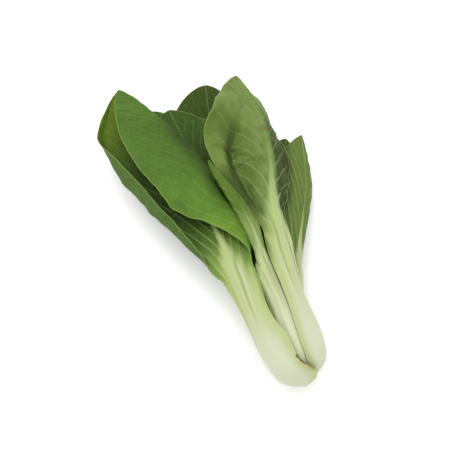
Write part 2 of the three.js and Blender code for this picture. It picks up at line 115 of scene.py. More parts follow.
LEAVES = {
    "leaf_1_top_left": dict(
        turn=147, ring=-0.9, face=92, blade_from=0.34, foot_at=(4.6, -1.4),
        route=[(-22, 55, 41), (-21, 90, 44), (-20, 120, 42), (-25, 175, 37), (-34, 222, 32),
               (-39.5, 264, 27)],
        half=(49.5, 65), peak=(1.35, 1.05), blunt=(0.4, 0.72), pointed=(0.4, 0), stalk=22.5, foot=46,
        heel=20, rib=5, cup=4, clasp=(52, 44), hug=(20, 52), flare=(0, 3.3),
        folds_left=[dict(at=(0.7, 0.68), width=0.2, angle=150, when=(0.33, 0.6),
                         fade=(0.72, 0.95, 0.75))],
        folds_right=[dict(at=(0.78, 0.215), width=0.2, angle=172, when=(0.3, 0.575),
                          later=(0.19, 0.6, 0.8))],
        wave=(0.9, 38, 0.5), grid=(290, 72, 88), blister=0.3, swell=0.2, vein_show=0.18,
        vein_spacing=14, green_down=-0.02, grooves=(-0.48, 0.2)),
    "leaf_2_underside": dict(
        turn=275, ring=1, face=270, blade_from=0.40,
        route=[(6, 60, 4.5), (7, 100, 4.5), (8, 150, 4), (14, 205, 3.5), (27, 251.5, 7)],
        half=(32, 36), peak=(1.3, 1.35), blunt=(0.6, 0.55), stalk=19, foot=33, rib=5, cup=8, floor=0.8,
        wave=(2, 50, 2), grid=(200, 50, 44), blister=0.2, vein_show=0.12),
    "leaf_3_top_right": dict(
        turn=34, ring=2, face=80, blade_from=0.42,
        route=[(14, 58, 41), (21, 98, 43), (25.8, 124, 41), (39.4, 158, 38), (48, 196, 33),
               (48, 239, 27)],
        half=(51, 23), peak=(1.15, 1.12), blunt=(0.75, 0.5), stalk=18, foot=31, rib=5, cup=10,
        flare=(3.8, 0),
        folds_left=[dict(at=(0, 0), width=0.12, angle=26),
                    dict(at=(0.14, 0.14), width=0.4, angle=-76, fade=(0.75, 0.97, 0.8)),
                    dict(at=(0.42, 0.56), width=0.1, angle=84, when=(0.42, 0.62),
                         later=(0.2, 0.72, 0.92), fade=(0.8, 0.97, 0.8)),
                    dict(at=(0.75, 0.7), width=0.3, angle=-28)],
        folds_right=[dict(at=(0.03, 0.03), width=0.3, angle=-42),
                     dict(at=(0.75, 0.75), width=0.25, angle=25),
                     dict(at=(1, 0.05), width=0.3, angle=-15, when=(0.6, 0.85))],
        wave=(1.5, 42, 0), grid=(280, 84, 48), blister=0.7, ruffle=0.15, vein_show=0.33,
        vein_spacing=14, vein_slope=1.9, rib_pale=0.22, rib_fade=0.85, green_down=-0.03,
        grooves=(-0.3, 0.32)),
    "leaf_4_left": dict(
        turn=200, ring=3.5, face=264, blade_from=0.40,
        route=[(-18.5, 60, 22.5), (-20, 95, 22), (-16, 140, 20), (-9, 185, 18), (-9, 238, 16)],
        half=(37, 36), peak=(1.3, 1.3), blunt=(0.75, 0.6), stalk=16, foot=30, rib=5, cup=14,
        wave=(2.2, 46, 1), grid=(200, 56, 48), blister=0.25, vein_show=0.12),
    "leaf_5_right": dict(
        turn=-14, ring=4.7, face=70, blade_from=0.40,
        route=[(18.5, 60, 23), (32.5, 92, 22), (46.5, 115, 20), (62.2, 142, 14.6), (75, 176.5, 17.4)],
        half=(33, 31), peak=(1.15, 1.15), blunt=(0.75, 0.75), stalk=14, foot=24, rib=3.8, cup=10,
        folds_left=[dict(at=(0.1, 0.1), width=0.5, angle=-10)],
        folds_right=[dict(at=(0.06, 0.06), width=0.3, angle=-160)],
        wave=(1, 40, 0), grid=(220, 56, 52), blister=0.25, vein_slope=4.5),
    "leaf_6_middle": dict(
        turn=92, ring=4.4, face=60, blade_from=0.46,
        route=[(1, 52, 40), (1.1, 84, 45), (2.4, 112, 52.9), (0.4, 140, 53.5), (-4.6, 169, 53.5)],
        half=(19, 9), peak=(1.15, 0.7), blunt=(0.5, 0.8), stalk=19, foot=23, rib=4, cup=5, clasp=(52, 44),
        folds_left=[dict(at=(0.05, 0.05), width=0.4, angle=-150)],
        folds_right=[dict(at=(0.1, 0.1), width=0.5, angle=-20)],
        wave=(0.3, 40, 0), grid=(200, 40, 30), blister=0.08, ruffle=0.1, vein_height=0.08,
        rib_fade=0.9, green_down=-0.02, grooves=(-0.5, 0.0, 0.5)),
    "leaf_7_lower_left": dict(
        turn=240, ring=6.4, face=277, blade_from=0.42,
        route=[(-3.8, 60, 11.5), (-14, 95, 10.2), (-21, 140, 10.2), (-28, 190, 9), (-23, 246, 10)],
        half=(34, 24), peak=(1.3, 1.4), blunt=(0.6, 0.6), stalk=12, foot=20, rib=4, cup=4, floor=0.6,
        wave=(1.6, 44, 3), grid=(180, 40, 34), blister=0.2, vein_show=0.12),
    "leaf_8_lower_right": dict(
        turn=15, ring=7.8, face=-100, blade_from=0.45,
        route=[(9, 60, 16), (20, 90, 11.5), (36, 120, 9.3), (50, 155, 7.2), (65, 183, 7)],
        half=(15, 24), peak=(1.2, 1.2), blunt=(0.65, 0.65), stalk=10, foot=16, rib=3.5, cup=4, floor=0.6,
        wave=(1.4, 40, 1), grid=(160, 36, 34), blister=0.2, vein_show=0.12),
    "leaf_9_heart": dict(
        turn=160, ring=8.5, face=100, blade_from=0.42,
        route=[(-4, 55, 30), (-5, 85, 32), (-4, 120, 32)],
        half=(14, 14), peak=(1.1, 1.1), blunt=(0.7, 0.7), stalk=9, foot=15, rib=3, cup=50,
        wave=(0.8, 30, 1), grid=(120, 26, 26), blister=0.1),
}

# ---- corky scars where two stalks part at the bulb, and a faint stain high on a blade: from, to,
# and how far each reaches ----
SCARS = {
    "tan_scar": ((-5.0, 8.5, 43.8), (-0.8, 4.2, 40.6), 4.2),
    "line_scar": ((-2.1, 5.7, 41.7), (1.8, 2.5, 37.1), 1.5),
    "dark_scar": ((-6.2, 14.0, 45.0), (-3.2, 7.8, 42.9), 2.2),
    "faint_stain": ((44.5, 187, 35.7), (50.0, 184.5, 33.0), 3.2),
}


def smooth(value, start, end):
    """A smooth step from 0 at start to 1 at end."""
    share = np.clip((value - start) / (end - start), 0, 1)
    return share * share * (3 - 2 * share)


def unit(vectors):
    """The same directions with length 1."""
    return vectors / np.maximum(np.linalg.norm(vectors, axis=-1, keepdims=True), 1e-12)


# ---- the middle sheet of a leaf ----

def route_points(leaf):
    """Three points that follow the bulb (foot, flare and widest place), then the leaf's own."""
    radius = BULB_RADIUS - RING_STEP * leaf["ring"]
    ring = leaf["ring"]
    foot = leaf.get("foot_at", (FOOT_RADIUS - FOOT_STEP * ring, 2 + FOOT_RISE * ring))
    reach = np.array([foot[0], 0.8 * radius, radius])
    height = np.array([foot[1], 8 + 1.5 * ring, 24 + 0.8 * ring])
    turn = math.radians(leaf["turn"])
    bulb = np.column_stack([AXIS_X + reach * math.cos(turn), height, AXIS_Z + reach * math.sin(turn)])
    return np.vstack([bulb, leaf["route"]])


def curve_at(points, place):
    """A Catmull-Rom curve: place 0 is the first point, 1 the second, and so on."""
    padded = np.vstack([2 * points[0] - points[1], points, 2 * points[-1] - points[-2]])
    start = np.minimum(place.astype(int), len(points) - 2)
    f = (place - start)[:, None]
    before, here, there, after = (padded[start + k] for k in range(4))
    leave = (there - before) / 2
    arrive = (after - here) / 2
    cubic = (2 * here - 2 * there + leave + arrive) * f ** 3
    return cubic + (3 * there - 3 * here - 2 * leave - arrive) * f ** 2 + leave * f + here


def along_route(leaf, share):
    """Points at shares of the route's length, and that length."""
    points = route_points(leaf)
    places = np.linspace(0, len(points) - 1, ROUTE_STEPS + 1)
    steps = np.linalg.norm(np.diff(curve_at(points, places), axis=0), axis=1)
    lengths = np.concatenate([[0], np.cumsum(steps)])
    return curve_at(points, np.interp(share * lengths[-1], lengths, places)), lengths[-1]


def half_width(leaf, share, length, side):
    """Half-width on one side: the cube root of the sum of the stalk's and the blade's cubes.

    The blade's is a sine arch raised to a power. The stalk's bulges at the bulb, and a flare widens
    it on that side for a stretch by the petiole.
    """
    along = share * length
    blade_from = leaf["blade_from"]
    bell = np.exp(-(((along - BULGE_AT) / BULGE_REACH) ** 2))
    free = 1 - smooth(share, blade_from, blade_from + 0.35 * (1 - blade_from))
    heel = smooth(along, -leaf["heel"], HEEL)
    flare = leaf["flare"][side] * np.exp(-(((along - FLARE_AT) / FLARE_REACH) ** 2))
    stalk = ((leaf["stalk"] + (leaf["foot"] - leaf["stalk"]) * bell) / 2 + flare) * heel * free
    q = np.clip((share - blade_from) / (1 - blade_from), 0, 1)
    arch = np.maximum(np.sin(np.pi * q ** leaf["peak"][side]), 0)
    blunt = leaf["blunt"][side] + leaf["pointed"][side] * q
    blade = leaf["half"][side] * arch ** blunt
    return np.maximum(np.cbrt(stalk ** 3 + blade ** 3), TIP_HALF_WIDTH)


def fold_place(leaf, fold, share):
    """Where across the blade a fold starts: at its first place, then its second, then any later one."""
    start, end = fold.get("when", (leaf["blade_from"] - 0.02, leaf["blade_from"] + 0.3))
    place = fold["at"][0] + (fold["at"][1] - fold["at"][0]) * smooth(share, start, end)
    later, start, end = fold.get("later", (fold["at"][1], 0, 1))
    return place + (later - fold["at"][1]) * smooth(share, start, end)


def section_angle(leaf, share, x, side):
    """How far the section has turned outwards at x: the cup turns it in, each fold turns it out."""
    blade_from = leaf["blade_from"]
    cup = STALK_WRAP + (leaf["cup"] - STALK_WRAP) * smooth(share, blade_from - 0.14, blade_from + 0.24)
    angle = -cup[:, None] * x
    for fold in leaf[("folds_left", "folds_right")[side]]:
        place = fold_place(leaf, fold, share)[:, None]
        grown = smooth(share, blade_from - 0.04, blade_from + 0.1)
        if "fade" in fold:
            fade_from, fade_to, amount = fold["fade"]
            grown = grown * (1 - amount * smooth(share, fade_from, fade_to))
        angle = angle + (grown * fold["angle"])[:, None] * smooth((x - place) / fold["width"], 0, 1)
    return np.radians(angle)


def section_curve(leaf, share, width, side, at):
    """The section's [across, outwards] at the places at, by adding up steps along its angle."""
    x = np.linspace(0, 1, CROSS_STEPS + 1)
    angle = section_angle(leaf, share, x, side)
    curve = []
    for part in (np.cos(angle), np.sin(angle)):
        steps = (part[:, 1:] + part[:, :-1]) / 2 * (width / CROSS_STEPS)[:, None]
        total = np.concatenate([np.zeros((len(share), 1)), np.cumsum(steps, axis=1)], axis=1)
        left = np.minimum((at * CROSS_STEPS).astype(int), CROSS_STEPS - 1)
        f = at * CROSS_STEPS - left
        curve.append(total[:, left] * (1 - f) + total[:, left + 1] * f)
    return curve


def sheet_normals(points):
    """Unit normals that look out of the leaf's back."""
    return unit(np.cross(np.gradient(points, axis=1), np.gradient(points, axis=0)))


def swept_sheet(leaf, share, x, centre, widths):
    """The sheet away from the bulb: every row is the section's curve, square to the route."""
    step = 0.004
    ahead = unit(along_route(leaf, np.minimum(share + step, 1))[0]
                 - along_route(leaf, np.maximum(share - step, 0))[0])
    look = np.radians(leaf["turn"] + (leaf["face"] - leaf["turn"]) * smooth(share, *TURNED_TO_FACE))
    right = np.column_stack([np.sin(look), np.zeros(len(share)), -np.cos(look)])
    right = unit(right - ahead * (right * ahead).sum(axis=1, keepdims=True))
    out = np.cross(right, ahead)
    swept = np.empty((len(share), len(x), 3))
    for side, columns in ((0, x <= 0), (1, x > 0)):
        across, outwards = section_curve(leaf, share, widths[side], side, np.abs(x[columns]))
        reach = across * np.sign(x[columns])
        swept[:, columns] = (centre[:, None] + reach[..., None] * right[:, None]
                             + outwards[..., None] * out[:, None])
    return swept


def clasped_sheet(leaf, along, x, centre, width):
    """The sheet by the bulb: every row is an arc round the head's axis, no longer than its clasp."""
    radius = np.hypot(centre[:, 0] - AXIS_X, centre[:, 2] - AXIS_Z)
    angle = np.arctan2(centre[:, 2] - AXIS_Z, centre[:, 0] - AXIS_X)
    hug = np.exp(-((along / HUG_REACH) ** 2))[:, None]
    reach = [leaf["clasp"][side] + leaf["hug"][side] * hug for side in (0, 1)]
    clasp = np.radians(np.where(x > 0, reach[1], reach[0]))
    turned = angle[:, None] - np.minimum(width / np.maximum(radius, 6)[:, None], clasp) * x
    return np.stack([AXIS_X + radius[:, None] * np.cos(turned),
                     np.broadcast_to(centre[:, 1:2], turned.shape),
                     AXIS_Z + radius[:, None] * np.sin(turned)], axis=-1)


def middle_sheet(leaf):
    """The sheet on its grid: an arc round the axis by the bulb, blending into the swept section."""
    rows, left_columns, right_columns = leaf["grid"]
    even = np.linspace(0, 1, rows)
    share = even - END_CROWDING * np.sin(2 * np.pi * even) / (2 * np.pi)
    x = np.concatenate([np.linspace(-1, 0, left_columns + 1)[:-1], np.linspace(0, 1, right_columns + 1)])
    centre, length = along_route(leaf, share)
    along = share * length
    widths = [half_width(leaf, share, length, side) for side in (0, 1)]
    width = np.where(x > 0, widths[1][:, None], widths[0][:, None])
    swept = swept_sheet(leaf, share, x, centre, widths)
    clasped = clasped_sheet(leaf, along, x, centre, width)
    freed = smooth(centre[:, 1], *CLASP_FREE)[:, None, None]
    return dict(leaf=leaf, points=clasped * (1 - freed) + swept * freed, length=length,
                share=share[:, None], along=along[:, None], x=x[None, :], width=width,
                across=x * width, narrow=np.minimum(*widths)[:, None])


def wave_margin(sheet):
    """Long waves of the margin, growing with the cube of the distance from the midrib."""
    leaf, share, x = sheet["leaf"], sheet["share"], sheet["x"]
    height, wavelength, phase = leaf["wave"]
    grown = smooth(share, leaf["blade_from"] + 0.05, leaf["blade_from"] + 0.3)
    grown = grown * (1 - smooth(share, 0.93, 1))
    turn = 2 * np.pi * sheet["along"] / wavelength + phase + np.where(x > 0, 0, 1.7)
    shift = height * grown * np.abs(x) ** 3 * np.sin(turn)
    sheet["points"] += sheet_normals(sheet["points"]) * shift[..., None]


def lay_on_floor(sheet):
    """A blade that would sink below its floor height lies along it instead, with a soft bend."""
    floor = sheet["leaf"]["floor"]
    if floor is not None:
        above = sheet["points"][..., 2] - floor
        sheet["points"][..., 2] = floor + (above + np.hypot(above, 3)) / 2


def rib_height(sheet):
    """The rib above the sheet: a rounded ridge, full by the bulb, narrower and lower up the blade."""
    leaf, share = sheet["leaf"], sheet["share"]
    blade_from = leaf["blade_from"]
    opened = smooth(share, blade_from - 0.05, blade_from + 0.3)
    taper = 0.275 * leaf["stalk"] * (1 - smooth(share, blade_from, 1)) + 0.5
    reach = np.maximum(sheet["narrow"] * (1 - opened) + opened * taper, 0.5)
    foot = 0.62 + 0.38 * np.exp(-(((sheet["along"] - 24) / 30) ** 2))
    thin = 1 - 0.45 * smooth(share, blade_from - 0.05, blade_from + 0.2)
    thin = thin * (1 - 0.97 * smooth(share, blade_from + 0.08, 1))
    ridge = np.maximum(1 - (sheet["across"] / reach) ** 2, 0) ** 1.5
    return leaf["rib"] * foot * thin * ridge


# ---- veins, ridges and unevenness ----

def unevenness(u, v, wavelength, seed):
    """Soft bumps between about -1 and 1: eleven plane waves of random direction and length.

    4.7 is twice the usual spread of a sum of eleven such waves.
    """
    draw = np.random.default_rng(seed)
    total = 0
    for _ in range(11):
        heading = draw.uniform(0, 2 * np.pi)
        pitch = wavelength * draw.uniform(0.75, 1.5)
        phase = draw.uniform(0, 2 * np.pi)
        total = total + np.sin(2 * np.pi * (u * np.cos(heading) + v * np.sin(heading)) / pitch + phase)
    return total / 4.7


def vein_field(sheet, seed):
    """A count that is a whole number and a half on every side vein, and the gap between two veins.

    Up the blade the count grows with the distance along the midrib. Across it falls by vein_slope
    times the distance from the midrib at first, and less further out, so the veins curve outwards:
    a slope of 3 lets them leave the midrib at 18 degrees, and 2 at 27. In the stalk it only falls
    across, so the veins run lengthwise there.
    """
    leaf, share, x = sheet["leaf"], sheet["share"], sheet["x"]
    size = np.clip(max(leaf["half"]) / 50, 0.35, 1.2)
    spacing = leaf["vein_spacing"] * math.sqrt(size)
    slope = leaf["vein_slope"]
    lengthwise = 1 - smooth(share, leaf["blade_from"] - 0.08, leaf["blade_from"] + 0.06)
    off = np.abs(sheet["across"])
    off = (lengthwise * np.abs(x) * leaf["stalk"] / 2 + (1 - lengthwise) * off) / size
    fall = size * (slope * off - 0.03 * off ** 2 + 0.0002 * off ** 3)
    start = sheet["along"] - leaf["blade_from"] * sheet["length"]
    soft = 10.0
    rise = soft * np.logaddexp(0, start / soft)
    stagger = np.where(x > 0, 0, 0.5) * smooth(start, -10, 20)
    wander = 0.16 * unevenness(sheet["along"], sheet["across"], 45, seed)
    count = (rise - fall) / spacing + stagger + wander * smooth(start, -5, 25)
    steepness = np.hypot(1 / (1 + np.exp(-start / soft)), slope - 0.06 * off + 0.0006 * off ** 2)
    return count, spacing / steepness


def stalk_grooves(sheet):
    """1 at the bottom of each lengthwise groove of the stalk, from above the bulb to the petiole."""
    share = sheet["share"]
    blade_from = sheet["leaf"]["blade_from"]
    grooves = np.zeros_like(sheet["across"])
    for place in sheet["leaf"]["grooves"]:
        grooves += np.exp(-(((sheet["x"] - place) / GROOVE_WIDTH) ** 2))
    grooves = grooves * smooth(sheet["along"], 35, 85)
    return grooves * (1 - smooth(share, blade_from + 0.03, blade_from + 0.15))


def relief(sheet, seed):
    """What rises from the sheet: the sheet's shift, the veins' height and the values that colour them.

    A vein is a bell-shaped ridge, and each has its own strength. The veins are broadest where they
    fan out of the petiole, and they fade by the margin. Between them the sheet is sunk, and small
    bumps, long swells, a ruffled margin and the wrinkles of a bulge bend it. The stalk has low waves
    from side to side, one to a vein, with finer ones on them, and a few deeper grooves.
    """
    leaf, share, along, x, across = (sheet[key] for key in ("leaf", "share", "along", "x", "across"))
    blade_from = leaf["blade_from"]
    from_midrib = np.abs(across)
    blade = smooth(share, blade_from, blade_from + 0.14)

    count, gap = vein_field(sheet, seed)
    strengths = np.random.default_rng(seed + 5).uniform(0.3, 1, 64)
    vein_number = np.floor(count).astype(int) + np.where(x > 0, 31, 0)
    own = strengths[vein_number % len(strengths)]
    fan = np.exp(-np.maximum(share - blade_from, 0) / 0.08)
    fan = fan * smooth(share, blade_from - 0.12, blade_from - 0.02)
    away = smooth(from_midrib, 0.6, 4.0) * (1 - smooth(np.abs(x), 0.72, 0.96))
    off_vein = np.abs(count - np.floor(count) - 0.5) * gap
    ridge = np.exp(-((off_vein / (0.8 + 0.6 * fan)) ** 2))
    veins = leaf["vein_height"] * ridge * away * blade * (0.4 + 0.6 * own)

    waves = 0.2 * np.cos(2 * np.pi * (count - 0.5)) + 0.05 * np.cos(2 * np.pi * (3.3 * count + 0.2))
    waves = waves * (1 - smooth(np.abs(x), 0.75, 1)) * smooth(along, 12, 40)
    groove = stalk_grooves(sheet)
    stalk = (waves - GROOVE_DEPTH * groove) * (1 - blade)

    pucker = PUCKER_DEPTH * leaf["vein_height"] * (1 - ridge) * away * blade
    bumps = leaf["blister"] * unevenness(along, across, BLISTER_SIZE, seed + 1)
    swell = leaf["swell"] * unevenness(along, across, SWELL_SIZE, seed + 2)
    ruffle = leaf["ruffle"] * unevenness(along * 1.3, x * 40, RUFFLE_SIZE, seed + 3) * np.abs(x) ** 4
    inside = blade * smooth(from_midrib, 1, 8) * (1 - smooth(share, 0.95, 1))
    crease_shade, bulge, wrinkle = crease_shade_and_bulge(sheet)
    shift = (bumps + swell + ruffle) * inside - pucker - WRINKLE_DEPTH * wrinkle

    show = away * blade * (leaf["vein_show"] * own * (1 - fan) + 0.75 * fan)
    pale = paleness(sheet, fan * np.exp(-((off_vein / 1.6) ** 2)))
    # The crease mask is painted shade: along the folds' valleys, under the flap's edge and, half as
    # strong, in the bulge's wrinkles.
    values = dict(vein=count, vein_sharpness=gap / (0.55 + 0.9 * fan), vein_show=show, pale=pale,
                  groove=groove, crease_shade=np.clip(crease_shade + 0.5 * wrinkle, 0, 1), bulge=bulge)
    return shift, veins + stalk, values


def paleness(sheet, fingers):
    """1 on the stalk and the midrib, 0 on the green of the blade, with fingers that run up the veins.

    It falls about one reach off the midrib, and the reach narrows from the whole stalk's to that of
    a thin band where the blade opens.
    """
    leaf, share = sheet["leaf"], sheet["share"]
    blade_from = leaf["blade_from"]
    green_from = blade_from - leaf["green_down"]
    opened = smooth(share, green_from - 0.13, green_from + 0.09)
    free = smooth(share, green_from - 0.2, green_from - 0.08)
    rib = leaf["rib_pale"] * leaf["stalk"] * (1 - smooth(share, blade_from, blade_from + 0.3)) + 0.42
    stalk = 1.6 * sheet["width"] * (1 - free) + 0.62 * leaf["stalk"] * free
    reach = stalk * (1 - opened) + rib * opened
    off = np.abs(sheet["across"]) / reach * (1 - 0.4 * fingers)
    soft = 0.45 * opened * (1 - smooth(share, blade_from + 0.05, blade_from + 0.2))
    faint = leaf["rib_fade"] * smooth(share, blade_from + 0.04, blade_from + 0.32)
    return (1 - smooth(off, 0.55 - soft, 1.35 + 2 * soft)) * (1 - faint)


def scar(points, start, end, radius, seed):
    """1 on the straight line of a corky scar, falling to 0 at an uneven edge about one radius off it."""
    start, end = np.array(start), np.array(end)
    run = end - start
    share = np.clip((points - start) @ run / (run @ run), 0, 1)
    off = np.linalg.norm(points - start - share[:, None] * run, axis=-1) / radius
    ragged = 0.22 * unevenness(points[..., 0] + points[..., 2], points[..., 1], 1.5 * radius, seed)
    return 1 - smooth(off + ragged, 0.35, 1.1)


def crease_shade_and_bulge(sheet):
    """Three values of a blade with a fold that moves across it, each 1 at its full strength.

    The first is painted shade: it lies along the bottom of a fold of the left half, further out low
    down and over the whole lobe at its foot, and beside a fold of the right half, where a flap shades
    what it covers. The second lies on the bulge between the left fold and the midrib, and the third on
    the bulge's wrinkles, which meander where a soft random height is close to 0.
    """
    leaf, share, x, across = (sheet[key] for key in ("leaf", "share", "x", "across"))
    blade_from = leaf["blade_from"]
    crease_shade = np.zeros_like(across)
    bulge = np.zeros_like(crease_shade)
    for fold in leaf["folds_left"]:
        if "later" in fold:
            middle = fold_place(leaf, fold, share) + fold["width"] / 2
            off = -x - middle - 0.11 * (1 - smooth(share, 0.66, 0.78))
            grown = smooth(share, blade_from + 0.02, blade_from + 0.12) * (1 - smooth(share, 0.7, 0.9))
            low = 1 - smooth(share, blade_from + 0.12, blade_from + 0.26)
            band = np.exp(-((off / 0.08) ** 2))
            crease_shade += grown * np.maximum(band, low * smooth(off, -0.05, 0.05)) * (x < 0)
            bulge += grown * (1 - smooth(off, -0.08, 0.02)) * (x < 0.05)
    for fold in leaf["folds_right"]:
        if "later" in fold:
            middle = fold_place(leaf, fold, share) + fold["width"] / 2
            shaded = 0.85 * smooth(share, 0.45, 0.62) * (1 - smooth(share, 0.75, 0.9))
            crease_shade += shaded * (1 - smooth((x - middle) * sheet["width"], 2, 17)) * (x > 0)
    height = unevenness(sheet["along"], 0.55 * across, 15, WRINKLE_SEED)
    strength = smooth(unevenness(sheet["along"], across, 30, WRINKLE_SEED + 1), -0.7, 0.7)
    wrinkle = np.exp(-((height / 0.24) ** 2)) * strength * bulge * smooth(np.abs(x), 0.05, 0.15)
    return crease_shade, bulge, wrinkle


def leaf_faces(rows, columns):
    """Quads that close a sheet into a solid: back, front, both margins, the foot's end and the tip."""
    grid = np.arange(rows * columns).reshape(rows, columns)
    front = rows * columns
    a, b, c, d = grid[:-1, :-1], grid[:-1, 1:], grid[1:, 1:], grid[1:, :-1]
    back = np.stack([a, b, c, d], axis=-1).reshape(-1, 4)
    inner = np.stack([a, d, c, b], axis=-1).reshape(-1, 4) + front
    rim = []
    for line in (grid[::-1, 0], grid[0], grid[:, -1], grid[-1, ::-1]):
        rim.append(np.stack([line[:-1], line[:-1] + front, line[1:] + front, line[1:]], axis=-1))
    return np.concatenate([back, inner]), np.concatenate(rim)


def new_piece(name, points, faces, flat_faces=(), attributes=None):
    """A mesh object at the origin, smooth but for flat_faces, with one value a point per attribute."""
    mesh = bpy.data.meshes.new(name)
    every = np.concatenate([faces, flat_faces]) if len(flat_faces) else faces
    mesh.from_pydata(points * MM, [], every)
    smooth_faces = np.arange(len(every)) < len(faces)
    mesh.polygons.foreach_set("use_smooth", smooth_faces)
    for label, values in (attributes or {}).items():
        layer = mesh.attributes.new(label, "FLOAT", "POINT")
        layer.data.foreach_set("value", np.ascontiguousarray(values, dtype=np.float32).ravel())
    mesh.update()
    piece = bpy.data.objects.new(name, mesh)
    bpy.context.scene.collection.objects.link(piece)
    return piece


def placed(points):
    """Moves points of the head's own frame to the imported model's, which the cut stem's box gives."""
    low, high = (np.array(corner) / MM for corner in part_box("stem_base"))
    middle = (low + high) / 2
    shift = np.array([middle[0] - AXIS_X, low[1] - CUT_FACE_Y, middle[2] - AXIS_Z])
    return points + shift


def build_leaf(name, seed):
    """The sheet with its relief, given its thickness and closed, with no point below the floor.

    The sheet is thinner by its margin, and most of the rib stands out of its back.
    """
    sheet = middle_sheet({**USUAL, **LEAVES[name]})
    wave_margin(sheet)
    lay_on_floor(sheet)
    shift, veins, values = relief(sheet, seed)
    normals = sheet_normals(sheet["points"])
    middle = sheet["points"] + normals * shift[..., None]
    normals = sheet_normals(middle)
    rib = rib_height(sheet)
    from_margin = (1 - np.abs(sheet["x"])) * sheet["width"]
    thick = SHEET / 2 * (0.45 + 0.55 * smooth(from_margin, 0, 2.5))
    back = middle + normals * (thick + rib * RIB_OUTSIDE + veins)[..., None]
    front = middle - normals * (thick + rib * (1 - RIB_OUTSIDE) - 0.3 * veins)[..., None]
    raised = np.concatenate([back.reshape(-1, 3), front.reshape(-1, 3)])
    points = placed(raised)
    points[:, 2] = np.maximum(points[:, 2], 0.0)
    along = np.broadcast_to(sheet["along"], from_margin.shape)
    values.update(from_margin=from_margin, along=along, across=sheet["across"])
    attributes = {label: np.tile(value.ravel(), 2) for label, value in values.items()}
    attributes["inner_face"] = np.repeat([0.0, 1.0], from_margin.size)
    for label, (start, end, radius) in SCARS.items():
        attributes[label] = scar(raised, start, end, radius, SCAR_SEED)
    faces, rim = leaf_faces(*from_margin.shape)
    piece = new_piece(name.replace("leaf", "fine_leaf"), points, faces, rim, attributes)
    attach(piece, "root")
    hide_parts(name)
    return piece


def build_stem(sides=160, rings=90):
    """The cut stem: its profile turned about the head's axis, with a slightly uneven cut face."""
    profile = np.array(STEM_PROFILE, float)
    lengths = np.concatenate([[0], np.cumsum(np.linalg.norm(np.diff(profile, axis=0), axis=1))])
    places = np.linspace(0, lengths[-1], rings)
    radius = np.interp(places, lengths, profile[:, 0])[1:-1, None]
    height = np.interp(places, lengths, profile[:, 1])[1:-1, None]
    angle = np.linspace(0, 2 * np.pi, sides, endpoint=False)[None, :]
    x = radius * np.cos(angle)
    z = radius * np.sin(angle)
    on_cut = 1 - smooth(height, CUT_FACE_Y + 0.05, CUT_FACE_Y + 0.5)
    rough = 0.15
    y = height + rough * (unevenness(x, z, 3.2, CUT_SEED) + 1) * on_cut
    body = np.stack([AXIS_X + x, y, AXIS_Z + z], axis=-1).reshape(-1, 3)
    ends = np.array([[AXIS_X, profile[0, 1] + rough, AXIS_Z], [AXIS_X, profile[-1, 1], AXIS_Z]])
    points = placed(np.concatenate([body, ends]))
    grid = np.arange((rings - 2) * sides).reshape(rings - 2, sides)
    beside = np.roll(grid, -1, axis=1)
    walls = np.stack([grid[:-1], grid[1:], beside[1:], beside[:-1]], axis=-1).reshape(-1, 4)
    low, high = (np.full(sides, len(body) + end) for end in (0, 1))
    caps = np.concatenate([np.column_stack([low, grid[0], beside[0]]),
                           np.column_stack([high, beside[-1], grid[-1]])])
    piece = new_piece("fine_stem", points, walls.tolist() + caps.tolist())
    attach(piece, "root")
    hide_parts("stem_base")
    return piece


# ---- materials ----

def colour(code):
    """An sRGB hex colour as linear red, green, blue and 1."""
    parts = [int(code[i:i + 2], 16) / 255 for i in (1, 3, 5)]
    return (*(c / 12.92 if c <= 0.04045 else ((c + 0.055) / 1.055) ** 2.4 for c in parts), 1)


def add(tree, kind, inputs=None, out=0, **settings):
    """Adds a node with its settings, gives its inputs values or links, and returns one output.

    Inputs go by name or number. A Map Range's 0 to 4 are the value, its range and the result's range.
    A Mix's 0 is the amount, 2 and 3 are numbers, 6 and 7 are colours, and output 2 is a colour.
    """
    made = tree.nodes.new(kind)
    for label, value in settings.items():
        setattr(made, label, value)
    for socket, value in (inputs or {}).items():
        if isinstance(value, bpy.types.NodeSocket):
            tree.links.new(value, made.inputs[socket])
        else:
            made.inputs[socket].default_value = value
    return made.outputs[out]


def new_material(name):
    """An empty node material, with the input that its surface goes into."""
    material = bpy.data.materials.new(name)
    material.use_nodes = True
    tree = material.node_tree
    tree.nodes.clear()
    return material, tree, tree.nodes.new("ShaderNodeOutputMaterial").inputs["Surface"]


def leaf_patterns(tree, read):
    """The noises of a leaf's skin, and how far a place is from a vein and from the net of fine veins.

    Their sizes are in millimetres: patches of the blade 22, blotches 8, mottling 3.5, skin cells 1.1,
    stalk fibres 3 and threads 0.9 wide, both 28 times as long, and meshes of the net 3.2. Cells,
    threads and net are drawn coarser than real ones, so that they show.
    """
    lengthwise = add(tree, "ShaderNodeMath", {0: read["along"], 1: 1 / 28}, operation="MULTIPLY")
    place = add(tree, "ShaderNodeCombineXYZ", {0: read["along"], 1: read["across"]})
    fibre_place = add(tree, "ShaderNodeCombineXYZ", {0: lengthwise, 1: read["across"]})
    noises = {      # each: what it reads, size, detail
        "patches": (place, 22, 3),
        "blotches": (place, 8, 3),
        "mottle": (place, 3.5, 4),
        "cells": (place, 1.1, 2),
        "fibres": (fibre_place, 3, 3),
        "threads": (fibre_place, 0.9, 2),
    }
    pattern = {}
    for label, (where, size, detail) in noises.items():
        pattern[label] = add(tree, "ShaderNodeTexNoise",
                             {"Vector": where, "Scale": 1 / size, "Detail": detail})
    pattern["net"] = add(tree, "ShaderNodeTexVoronoi",
                         {"Vector": place, "Scale": 1 / 3.2, "Randomness": 0.9},
                         out="Distance", feature="DISTANCE_TO_EDGE")
    off_vein = read["vein"]
    for operation, operand in (("FRACT", 0), ("SUBTRACT", 0.5), ("ABSOLUTE", 0),
                               ("MULTIPLY", read["vein_sharpness"])):
        off_vein = add(tree, "ShaderNodeMath", {0: off_vein, 1: operand}, operation=operation)
    pattern["off vein"] = off_vein
    return pattern


